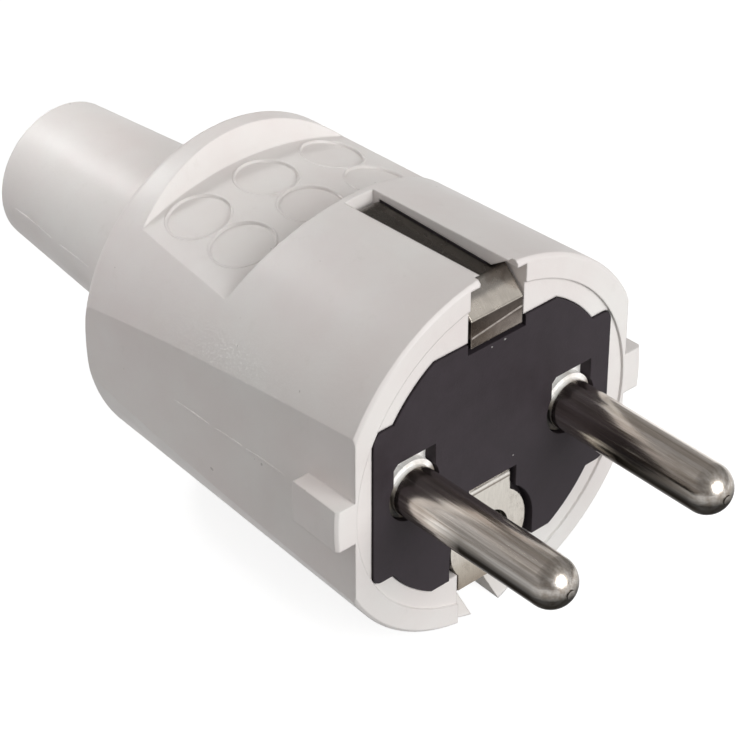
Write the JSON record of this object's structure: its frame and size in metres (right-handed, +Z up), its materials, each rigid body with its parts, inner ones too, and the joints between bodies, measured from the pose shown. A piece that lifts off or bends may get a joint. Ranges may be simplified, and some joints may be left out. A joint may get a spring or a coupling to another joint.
{
  "type": "mains plug",
  "caption": "Straight rewirable mains plug: soft white housing with cord neck, black contact carrier, round pins, side earth clips and a female earth contact.",
  "frame": {"origin": "centre of the engagement face, on the plane of the housing's front ring", "axes": "+X along the plug, out of the pins; +Z up, through the earth clips, with the label recess on top and the female earth contact below; +Y from the left pin to the right pin"},
  "size_m": [0.081, 0.0372, 0.037],
  "materials": {
    "housing": "soft white moulding, slightly glossy",
    "carrier": "black moulding, fine grain",
    "pins": "nickel-plated brass, polished",
    "terminals": "nickel-plated brass, plain",
    "earth_strip": "nickel-plated strip, stamped and bent",
    "spring_strip": "thin plated strip",
    "screws": "zinc-plated steel"
  },
  "bodies": {
    "root": {"housing": "housing", "carrier_front": "carrier", "carrier_back": "carrier", "carrier_screws": "screws", "pin_left": "pins", "pin_right": "pins", "terminal_left": "terminals", "terminal_right": "terminals", "terminal_screw_left": "screws", "terminal_screw_right": "screws", "wire_guard_left": "spring_strip", "wire_guard_right": "spring_strip", "wire_guard_earth": "spring_strip", "earth_bow": "earth_strip", "earth_socket": "earth_strip", "earth_rivet": "screws", "earth_terminal": "terminals", "earth_terminal_screw": "screws", "cord_clamp": "carrier", "cord_clamp_screws": "screws"}
  },
  "joints": []
}
